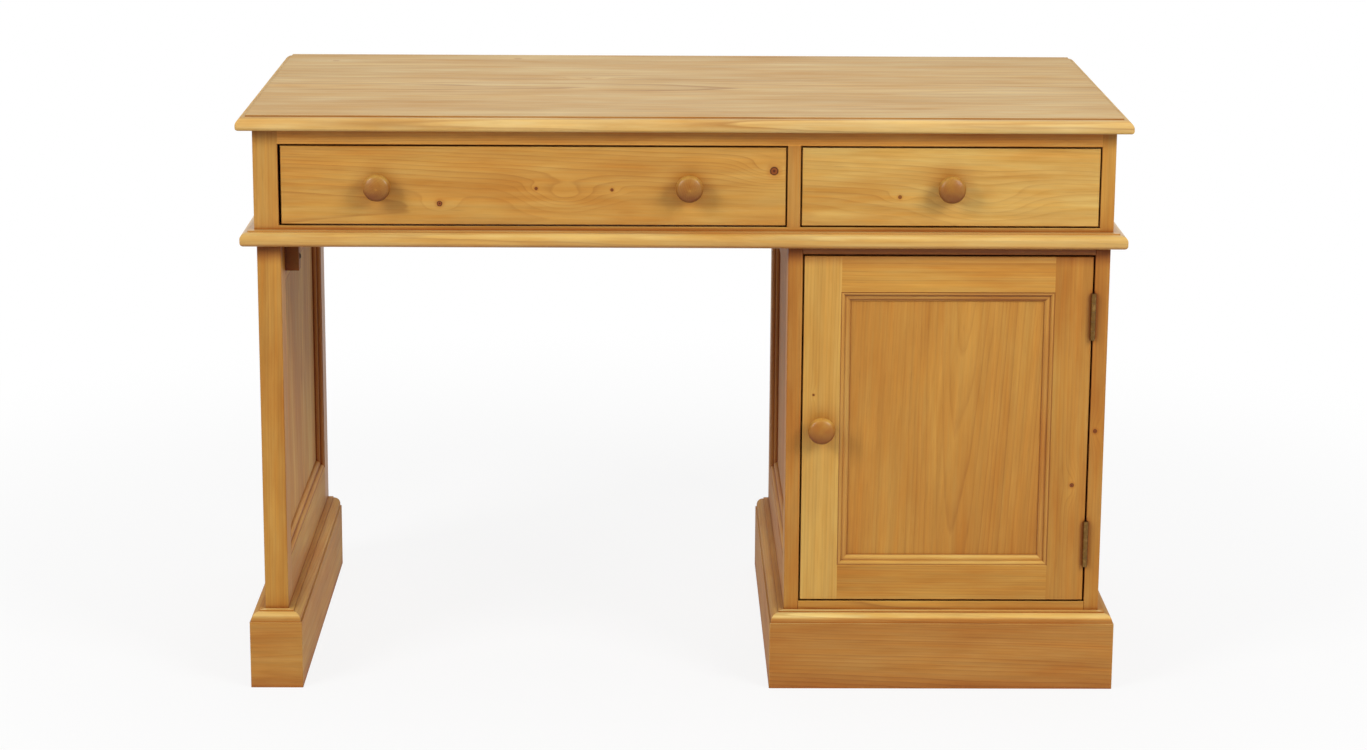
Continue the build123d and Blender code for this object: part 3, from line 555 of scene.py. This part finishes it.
finish_with(pine("leg plinth front", "X", (-0.36, 0.02, -0.55), tilt=(1.0, 1.5), line=0.4,
                 tint=(0.92, 0.84, 0.82), edge=(1.20, 1.36, 1.62), crease_stain_and_shade=0.2), "leg_plinth_front")
finish_with(pine("leg plinth sides", "Y", (-0.40, 0.00, 0.0), tilt=(1.0, 1.0), coat=0.0, sheen=0.62,
                 tint=(0.92, 0.86, 0.80), boards=("X", -0.60, 0.036)), "leg_plinth_sides")
finish_with(pine("pedestal plinth front", "X", (-0.21, -0.06, 0.35), tilt=(0.8, 1.0), line=0.55,
                 tint=(0.89, 0.77, 0.74), edge=(1.48, 2.15, 3.40), crease_stain_and_shade=0.2), "pedestal_plinth_front")
finish_with(pine("pedestal plinth sides", "Y", (0.0, -0.05, 0.0), tilt=(1.0, 1.0), coat=0.0, sheen=0.62,
                 tint=(0.86, 0.76, 0.70), boards=("X", 0.10, 0.25)), "pedestal_plinth_sides")


# ---- Pedestal ----
# The cupboard: two framed and panelled sides joined by a bottom board, two top rails and a back panel,
# with one shelf on battens. The back is pinned on.

front_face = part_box("pedestal_right_stiles")[0][1]


def knot(x, z, size, pull, dark=1.0):
    """A knot in a front: its middle, its size, its pull on the grain and its darkness."""
    return (x, front_face, z), size, pull, dark


for side, shift, knots in (("left", 0.14, []), ("right", 0.56, [knot(0.5645, 0.365, 0.0030, 1.6)])):
    finish_with(pine(f"{side} side stiles", "Z", (shift - 0.06, -0.36, 0.3), tilt=(0.7, 0.5), line=0.3,
                     coat=0.0, sheen=0.58, tint=(0.86, 0.73, 0.61), boards=("Y", -0.30, 0.30),
                     painted_shadow_below=under_waist, knots=knots), f"pedestal_{side}_stiles")
    finish_with(pine(f"{side} side rails", "Y", (shift - 0.1, 0.75, 0.0), tilt=(0.8, 0.8), coat=0.0,
                     sheen=0.62, tint=(0.84, 0.72, 0.62), boards=("Z", 0.0, 0.3)), f"pedestal_{side}_rails")
    finish_with(pine(f"{side} side panel", "Z", (shift - 0.08, 0.03, 0.3), tilt=(1.0, 1.8), coat=0.0,
                     sheen=0.62, tint=(0.80, 0.66, 0.55), face="X"), f"pedestal_{side}_panel")
    low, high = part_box(f"pedestal_{side}_beads")
    finish_with(pine(f"{side} side beads", "Z", (shift + 0.3, -0.3, 0.3), tint=(0.74, 0.54, 0.46), coat=0.0,
                     sheen=0.62, mitre=("Y", low, high), upward_light_tint=(1.40, 1.85, 2.30)), f"pedestal_{side}_beads")
finish_with(pine("bottom board", "X", (0.0, 0.05, 0.35), tilt=(0.6, 0.9), tint=(1.10, 1.12, 1.02),
                 boards=("Y", -0.3, 0.12)), "pedestal_bottom")
finish_with(pine("pedestal back board", "Z", (0.35, 0.40, 0.3), wood=BARE, tilt=(1.2, 1.5), line=0.6,
                 boards=("X", 0.14, 0.11)), "pedestal_back")
finish_with(pine("top rails", "X", (-0.3, 0.50, 0.35), tilt=(0.6, 0.9), tint=(0.92, 0.80, 0.70),
                 boards=("Y", -0.3, 0.3), painted_shadow_below=under_waist), "pedestal_top_rails")
finish_with(pine("shelf boards", "X", (0.0, 0.28, 0.35), wood=BARE, tilt=(0.8, 1.2), boards=("Y", -0.3, 0.1)),
            "pedestal_shelf", "shelf_battens")


def panel_pins(name, places, facing, body):
    """Small round-headed panel pins, driven home along the edges of a thin panel."""
    head_radius = 0.0012
    shank_radius = 0.0007
    head_depth = 0.0010
    dome = 0.00022
    bpy.ops.object.select_all(action="DESELECT")
    bpy.ops.mesh.primitive_cone_add(vertices=12, radius1=shank_radius, radius2=head_radius, depth=head_depth,
                                    location=(0, 0, 0))
    pin = bpy.context.object
    bpy.ops.object.mode_set(mode="EDIT")
    choose(pin, lambda middle, normal: normal.z > 0.9)
    bpy.ops.mesh.inset(thickness=0.0005, depth=dome)
    bpy.ops.object.mode_set(mode="OBJECT")
    heads = [set_copy(pin, f"{name}_{number}", place, facing, 0, body, zinc)
             for number, place in enumerate(places)]
    bpy.data.objects.remove(pin)
    bpy.ops.object.select_all(action="DESELECT")
    for head in heads:
        head.select_set(True)
    bpy.context.view_layer.objects.active = heads[0]
    bpy.ops.object.join()
    heads[0].name = name
    bpy.ops.object.shade_smooth_by_angle(angle=math.radians(40))


pin_inset = 0.006
bottom_pin_inset = 0.009
pin_spacing = 0.095
low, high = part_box("pedestal_back")
places = []
columns = round((high[0] - low[0]) / pin_spacing)
for step in range(columns + 1):
    x = low[0] + pin_inset + (high[0] - low[0] - 2 * pin_inset) * step / columns
    places += [(x, high[1], low[2] + bottom_pin_inset), (x, high[1], high[2] - pin_inset)]
steps = round((high[2] - low[2]) / pin_spacing)
for step in range(1, steps):
    z = low[2] + (high[2] - low[2]) * step / steps
    places += [(low[0] + pin_inset, high[1], z), (high[0] - pin_inset, high[1], z)]
panel_pins("pedestal_back_pins", places, (0, 1, 0), "carcass")


# ---- Case ----
# The box that holds the drawers: sides, back panel, rear rail, divider, runners and kickers, behind a face
# frame of three stiles and two rails. The back is pinned to the sides, the divider and the rear rail.

finish_with(pine("case sides", "Y", (-0.50, 0.60, 0.0), tilt=(0.9, 1.1), boards=("X", -1.0, 1.0)),
            "case_side_left", "case_side_right")
finish_with(pine("case inside", "X", (0.40, 0.60, 0.0), wood=BARE, tilt=(0.9, 1.2), line=0.6),
            "case_back", "case_rail_rear")
finish_with(pine("runner stock", "Y", (-0.40, 0.60, 0.0), wood=BARE, tilt=(0.9, 1.1),
                 boards=("X", -0.6, 0.3)), "case_divider", "drawer_runners", "drawer_kickers")
finish_with(pine("case left stile", "Z", (-0.62, -0.21, 0.7), tilt=(0.6, 0.8), line=0.3,
                 tint=(0.95, 0.93, 0.92)), "case_stile_left")
finish_with(pine("case middle stile", "Z", (0.10, -0.22, 0.7), tilt=(0.6, 0.8), line=0.3,
                 tint=(0.91, 0.84, 0.81), joints=0.3), "case_stile_middle")
finish_with(pine("case right stile", "Z", (0.62, -0.21, 0.7), tilt=(0.6, 0.8), line=0.3,
                 tint=(1.04, 1.02, 0.93), joints=0.3), "case_stile_right")
finish_with(pine("case top rail", "X", (-0.16, 0.90, 0.0), tilt=(0.4, 0.5), tint=(1.26, 1.19, 1.12)),
            "case_rail_top")
finish_with(pine("case bottom rail", "X", (-0.18, 0.50, 0.2), tilt=(0.4, 0.5), joints=0.3),
            "case_rail_bottom")

low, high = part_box("case_back")
rail_low, rail_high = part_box("case_rail_rear")
divider_low, divider_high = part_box("case_divider")
rail_middle = (rail_low[2] + rail_high[2]) / 2
divider_middle = (divider_low[0] + divider_high[0]) / 2
shares_up = (0.34, 0.64, 0.94)
places = []
columns = round((high[0] - low[0]) / pin_spacing)
for step in range(1, columns):
    places.append((low[0] + (high[0] - low[0]) * step / columns, high[1], rail_middle))
for x in (low[0] + pin_inset, divider_middle, high[0] - pin_inset):
    places += [(x, high[1], low[2] + (high[2] - low[2]) * share) for share in shares_up]
panel_pins("case_back_pins", places, (0, 1, 0), "carcass")


# ---- Waist moulding ----
# The ovolo moulding glued round the foot of the case, mitred at the two front corners.

# The mouldings' paler, yellower tint is partly a painted highlight, for the sheen on the ovolo.
finish_with(pine("front waist moulding", "X", (-0.16, 0.55, 0.0), tilt=(0.4, 0.3), tint=(1.09, 1.20, 1.56),
                 line=0.35, sheen=0.36, coat=0.4, crease_stain_and_shade=0.2), "waist_moulding_front")
finish_with(pine("side waist moulding", "Y", (0.2, 0.50, 0.0), tilt=(0.4, 0.3), boards=("X", -1.0, 1.0),
                 tint=(1.10, 1.22, 1.45), line=0.35, sheen=0.36, coat=0.4, crease_stain_and_shade=0.2),
            "waist_moulding_sides")


# ---- Desk top ----
# One board, glued up from staves, 20 mm thick, with the step and ovolo run on its front and both ends.

top_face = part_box("desk_top")[1][2]
faint = 0.25
# The top's paler, yellower tint is partly a painted reflection of the backdrop, which its low gloss gives
# less of, and its edge tint is a painted highlight on the ovolo.
finish_with(pine("desk top", "X", (0.0, 0.62, 0.0), tilt=(0.6, 0.4), boards=("Y", -0.30, 0.12), face="Z",
                 line=0.70, patches=0.75, tint=(0.99, 1.32, 3.05), sheen=0.68, coat=0.0, gloss=1.25,
                 edge=(1.24, 1.175, 0.92), knots=[((-0.515, 0.23, top_face), 0.0050, 2.0, faint),
                                                  ((-0.245, 0.26, top_face), 0.0060, 2.5, faint),
                                                  ((-0.135, 0.06, top_face), 0.0045, 2.0, faint)]),
            "desk_top")


# ---- Drawers ----
# Solid pine fronts with lapped dovetails, plain pine sides and backs, plywood bottoms slid into grooves and
# pinned up into the backs, and turned beech knobs on glued spigots.

swirl_only = 0.0
finish_with(pine("left drawer front", "X", (-0.195, 0.672, -0.10), tilt=(0.5, 1.0), ring=0.0031, line=0.40,
                 knots=[knot(-0.33, 0.679, 0.0038, 2.0), knot(-0.20, 0.70, 0.0022, 1.0),
                        knot(-0.163, 0.691, 0.0068, 4.4, swirl_only), knot(-0.098, 0.6985, 0.0022, 1.0),
                        knot(0.12, 0.725, 0.0058, 4.5)]), "left_drawer_front")
finish_with(pine("right drawer front", "X", (-0.19, 0.66, 0.30), tilt=(0.6, 1.2), ring=0.0031, line=0.36,
                 tint=(1.115, 1.265, 1.53), joints=0.4,
                 knots=[knot(0.290, 0.69, 0.0026, 1.5, 0.9), knot(0.405, 0.685, 0.0090, 4.0, swirl_only)]),
            "right_drawer_front")
finish_with(pine("drawer sides", "Y", (-0.40, 0.70, 0.0), wood=BARE, tilt=(1.0, 1.2),
                 boards=("X", -0.55, 0.2)), "left_drawer_sides", "right_drawer_sides")
finish_with(pine("drawer backs", "X", (0.10, 0.70, 0.0), wood=BARE, tilt=(1.0, 1.2),
                 boards=("X", -0.6, 0.74)), "left_drawer_back", "right_drawer_back")


def plywood(name, low, high):
    """Rotary-cut birch plywood between two heights: broad wandering figure on the faces and its plies showing
    at the edges."""
    plies = 3
    early_colour = (0.78, 0.61, 0.40)
    late_colour = (0.66, 0.45, 0.25)
    turned_ply = (0.62, 0.48, 0.36)
    material, tree = blank(name)
    coordinates = add(tree, "TexCoord")
    place = coordinates.outputs["Object"]
    figure = noise(tree, place, (5, 26, 0), 2.0)
    growth = calc(tree, "PINGPONG", calc(tree, "MULTIPLY", figure, 13.0), 0.5)
    fleck = noise(tree, place, (60, 900, 200), 3.0, 0.6)
    wood = blend(tree, between(tree, growth, 0.1, 0.5, 0.0, 0.6), early_colour, late_colour)
    shade = between(tree, fleck, 0.25, 0.75, 0.92, 1.06)
    wood = add(tree, "HueSaturation", {"Value": shade, "Color": wood}).outputs[0]
    height = add(tree, "SeparateXYZ", {0: place}).outputs["Z"]
    ply = calc(tree, "DIVIDE", calc(tree, "SUBTRACT", height, low), (high - low) / plies)
    turned = calc(tree, "GREATER_THAN", calc(tree, "PINGPONG", calc(tree, "FLOOR", ply), 1.0), 0.5)
    edge = times(tree, wood, turned_ply, turned)
    normal = add(tree, "SeparateXYZ", {0: coordinates.outputs["Normal"]}).outputs
    flat = calc(tree, "ABSOLUTE", normal["Z"])
    wood = blend(tree, between(tree, flat, 0.4, 0.8, 1.0, 0.0), wood, edge)
    roughness = between(tree, fleck, 0.2, 0.8, 0.56, 0.68)
    return shaded(material, wood, roughness, fleck, strength=0.2, depth=0.0002, constants={"IOR": 1.4})


low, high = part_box("left_drawer_bottom")
finish_with(plywood("birch plywood", low[2], high[2]), "left_drawer_bottom", "right_drawer_bottom")
for drawer, count in (("left_drawer", 5), ("right_drawer", 3)):
    low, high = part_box(f"{drawer}_bottom")
    back_low, back_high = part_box(f"{drawer}_back")
    y = (back_low[1] + back_high[1]) / 2
    places = [(low[0] + (high[0] - low[0]) * (step + 0.5) / count, y, low[2]) for step in range(count)]
    panel_pins(f"{drawer}_bottom_pins", places, (0, 0, -1), drawer)


def beech(name, heart, colour=(0.302, 0.126, 0.0165)):
    """Stained beech, turned with its grain along the knob: fine flecks over faint years of growth, with
    painted light on top and painted shade underneath."""
    ring = 0.0026
    wandering_years = 3.0
    stain_paler = (1.08, 1.14, 1.2)
    stain_darker = (0.92, 0.76, 0.62)
    hollow_reach = 0.006
    hollow_colour = (0.09, 0.03, 0.01)
    painted_shade_below = (0.60, 0.44, 0.32)
    painted_light_above = (1.35, 1.72, 2.30)
    material, tree = blank(name)
    coordinates = add(tree, "TexCoord")
    place = coordinates.outputs["Object"]
    centred = add(tree, "Mapping", {"Vector": place, "Location": heart, "Rotation": (0.12, 0.0, 0.16)},
                  vector_type="TEXTURE").outputs[0]
    radius = vector(tree, "LENGTH", vector(tree, "MULTIPLY", centred, (1, 0, 1)), value=True)
    wander = calc(tree, "MULTIPLY", noise(tree, centred, (60, 20, 60), 2.0), wandering_years)
    years = calc(tree, "ADD", calc(tree, "DIVIDE", radius, ring), wander)
    season = calc(tree, "PINGPONG", years, 0.5)
    fleck = noise(tree, centred, (1500, 160, 1500), 2.0, 0.6)
    mottle = noise(tree, centred, (90, 45, 90), 3.0)
    wood = blend(tree, between(tree, season, 0.25, 0.5, 0.0, 0.35), colour, tuple(c * 0.66 for c in colour))
    wood = blend(tree, between(tree, mottle, 0.3, 0.7), times(tree, wood, stain_paler),
                 times(tree, wood, stain_darker))
    value = between(tree, fleck, 0.25, 0.75, 0.88, 1.12)
    wood = add(tree, "HueSaturation", {"Value": value, "Color": wood}).outputs[0]
    # Darker in its hollows, where ambient occlusion is low.
    hollow = add(tree, "AmbientOcclusion", {"Distance": hollow_reach}, samples=6).outputs["AO"]
    wood = blend(tree, between(tree, hollow, 0.15, 0.6, 0.6, 0.0), wood, hollow_colour)
    upward = add(tree, "SeparateXYZ", {0: coordinates.outputs["Normal"]}).outputs["Z"]
    # Painted shade underneath and painted light on top.
    wood = times(tree, wood, painted_shade_below, between(tree, upward, -0.50, 0.22, 1.0, 0.0, smooth=True))
    wood = times(tree, wood, painted_light_above, between(tree, upward, 0.12, 0.72, smooth=True))
    roughness = between(tree, fleck, 0.2, 0.8, 0.44, 0.52)
    return shaded(material, wood, roughness, fleck, strength=0.15, depth=0.0002,
                  constants={"IOR": 1.30, "Coat Weight": 0.22, "Coat Roughness": 0.26})


finish_with(beech("left drawer knobs", (-0.42, 0.0, 0.69)), "left_drawer_knobs")
finish_with(beech("right drawer knob", (0.365, 0.0, 0.712)), "right_drawer_knob")


# ---- Door ----
# Two stiles and two rails round a flat panel with mitred beads, on a pair of antiqued brass butt hinges, each
# leaf held by three countersunk slotted screws.

finish_with(pine("door left stile", "Z", (0.10, -0.20, 0.35), tilt=(0.5, 0.6), tint=(1.12, 1.25, 1.42),
                 line=0.3, patches=0.6, painted_shadow_below=under_waist, knots=[knot(0.1775, 0.415, 0.0016, 0.8)]),
            "door_stile_left")
finish_with(pine("door right stile", "Z", (0.60, -0.20, 0.35), tilt=(0.5, 0.6), tint=(0.905, 0.80, 0.64),
                 line=0.35, painted_shadow_below=under_waist, knots=[knot(0.535, 0.288, 0.0030, 2.2)]),
            "door_stile_right")
finish_with(pine("door rails", "X", (-0.20, 0.72, 0.35), tilt=(0.5, 0.6), tint=(1.03, 1.00, 0.90),
                 boards=("Z", 0.0, 0.3), painted_shadow_below=under_waist), "door_rails")
finish_with(pine("door panel", "Z", (0.37, -0.22, 0.1), tilt=(2.0, 2.0), ring=0.0046, tint=(0.94, 0.85, 0.69),
                 line=0.34, patches=0.65), "door_panel")
low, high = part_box("door_panel_beads")
finish_with(pine("door beads", "Z", (0.6, -0.5, 0.3), tint=(0.97, 0.90, 0.80), coat=0.3, sheen=0.38,
                 mitre=("X", low, high), upward_light_tint=(1.18, 1.38, 1.72)), "door_panel_beads")
finish_with(beech("door knob", (0.18, 0.0, 0.376), colour=(0.345, 0.142, 0.018)), "door_knob")

brass = metal("antiqued brass", colour=(0.215, 0.112, 0.032), worn=(0.42, 0.26, 0.09),
              hollow_colour=(0.050, 0.022, 0.009), rough=0.34)
finish_with(brass, "hinge_leaves_frame", "hinge_leaves_door", "hinge_pins")
hinge_screw = cut_screw(head=0.00275, neck=0.0014, sink=0.00108, dome=0.00025, shank=0.0020, slot=0.0006)
screw_spacing = 0.022
leaf_gap = 0.0002
hinge_length = 0.065
hinge_low, hinge_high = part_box("hinge_leaves_frame")
screw_y = (front_face + hinge_high[1]) / 2
hinge_middles = (hinge_low[2] + hinge_length / 2, hinge_high[2] - hinge_length / 2)
pin_low, pin_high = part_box("hinge_pins")
axis_x = (pin_low[0] + pin_high[0]) / 2
for leaf, facing, body in (("frame", -1, "carcass"), ("door", 1, "door")):
    face_x = axis_x - facing * leaf_gap / 2
    number = 0
    for middle in hinge_middles:
        for step in (-1, 0, 1):
            number += 1
            set_copy(hinge_screw, f"hinge_{leaf}_screw_{number}",
                     (face_x, screw_y, middle + step * screw_spacing), (facing, 0, 0), 37 * number + 12,
                     body, brass)
bpy.data.objects.remove(hinge_screw)


# ---- Catch ----
# A magnetic catch screwed up under the top rail, its magnet between two steel plates, and the zinc-plated
# strike that it holds, screwed to the back of the door's top rail.

def moulded(name, colour):
    """Moulded plastic with a fine spark-eroded texture and a little flow mottling."""
    material, tree = blank(name)
    place = add(tree, "TexCoord").outputs["Object"]
    flow = noise(tree, place, (90, 60, 120), 3.0)
    grit = noise(tree, place, (2600, 2600, 2600), 2.0, 0.6)
    base = blend(tree, between(tree, flow, 0.35, 0.65), colour, tuple(0.82 * c for c in colour))
    roughness = between(tree, grit, 0.2, 0.8, 0.42, 0.54)
    return shaded(material, base, roughness, grit, strength=0.25, depth=0.0001, constants={})


finish_with(moulded("brown moulding", (0.085, 0.036, 0.016)), "door_catch")
finish_with(zinc, "door_catch_strike")
low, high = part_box("door_catch")
ear_middle = 0.005
ear_thickness = 0.003
rim_proud = 0.0001
depth_middle = (low[1] + high[1]) / 2
catch_screw = cut_screw(head=0.0030, neck=0.0016, sink=0.0004, dome=0.0013, shank=0.0015, slot=0.0007)
for number, x in enumerate((low[0] + ear_middle, high[0] - ear_middle)):
    set_copy(catch_screw, f"catch_screw_{number + 1}", (x, depth_middle, high[2] - ear_thickness - rim_proud),
             (0, 0, -1), 20 + 75 * number, "carcass", zinc)
bpy.data.objects.remove(catch_screw)
strike_low, strike_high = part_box("door_catch_strike")
strike_inset = 0.0045
strike_rim_proud = 0.00004
strike_face = strike_high[1] + strike_rim_proud
strike_middle = (strike_low[2] + strike_high[2]) / 2
strike_screw = cut_screw(head=0.0021, neck=0.0011, sink=0.0007, dome=0.00012, shank=0.001, slot=0.0005)
for number, x in enumerate((strike_low[0] + strike_inset, strike_high[0] - strike_inset)):
    set_copy(strike_screw, f"strike_screw_{number + 1}", (x, strike_face, strike_middle),
             (0, 1, 0), 60 * number, "door", zinc)
bpy.data.objects.remove(strike_screw)

plate_inset = 0.0115
plate_size = (high[0] - low[0] - 2 * plate_inset, 0.003, 0.0012)
plate_rounding = 0.0002
plate_proud = 0.00015
plate_y = low[1] + plate_size[1] / 2 - plate_proud
plate_heights = (low[2] + 0.0022, high[2] - 0.0046)
for number, z in enumerate(plate_heights):
    bpy.ops.object.select_all(action="DESELECT")
    bpy.ops.mesh.primitive_cube_add(size=1, location=(0, 0, 0))
    plate = bpy.context.object
    bpy.ops.object.mode_set(mode="EDIT")
    bpy.ops.mesh.select_all(action="SELECT")
    bpy.ops.transform.resize(value=plate_size, center_override=(0, 0, 0))
    bpy.ops.mesh.bevel(offset=plate_rounding, segments=2)
    bpy.ops.mesh.select_all(action="SELECT")
    bpy.ops.transform.translate(value=((low[0] + high[0]) / 2, plate_y, z))
    bpy.ops.object.mode_set(mode="OBJECT")
    bpy.ops.object.shade_smooth_by_angle(angle=math.radians(35))
    plate.name = f"catch_pole_plate_{number + 1}"
    plate.data.materials.append(zinc)
    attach(plate, "carcass")
